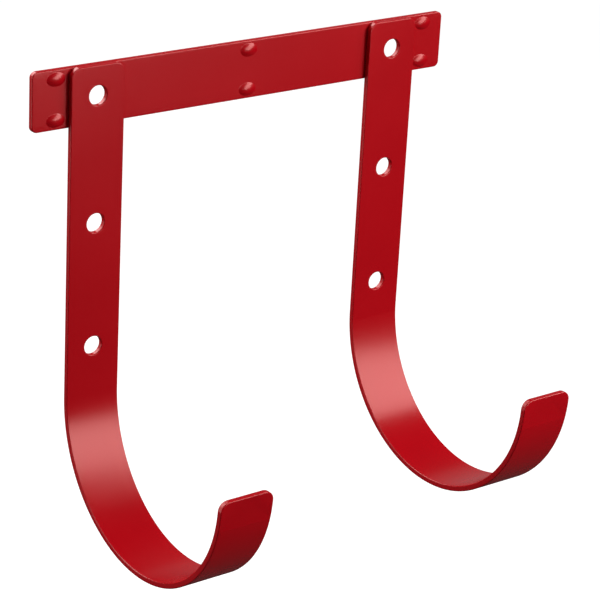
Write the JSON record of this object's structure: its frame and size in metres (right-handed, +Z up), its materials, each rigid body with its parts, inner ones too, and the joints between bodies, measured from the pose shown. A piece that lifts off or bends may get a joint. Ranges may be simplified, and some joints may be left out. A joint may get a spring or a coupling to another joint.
{
  "type": "double hook",
  "caption": "Wall-mounted double hook: a flat steel crossbar with two deep forward-curving J hooks of the same strip, powder-coated red.",
  "frame": {"origin": "centre of the crossbar's back face, which lies against the wall", "axes": "+X along the crossbar, towards the right hook as seen from the front, +Y into the wall, +Z up"},
  "size_m": [0.25, 0.146, 0.24],
  "materials": {
    "red_powder_coat": "semi-gloss powder coat"
  },
  "bodies": {
    "root": {"crossbar": "red_powder_coat", "left_hook": "red_powder_coat", "right_hook": "red_powder_coat"}
  },
  "joints": []
}
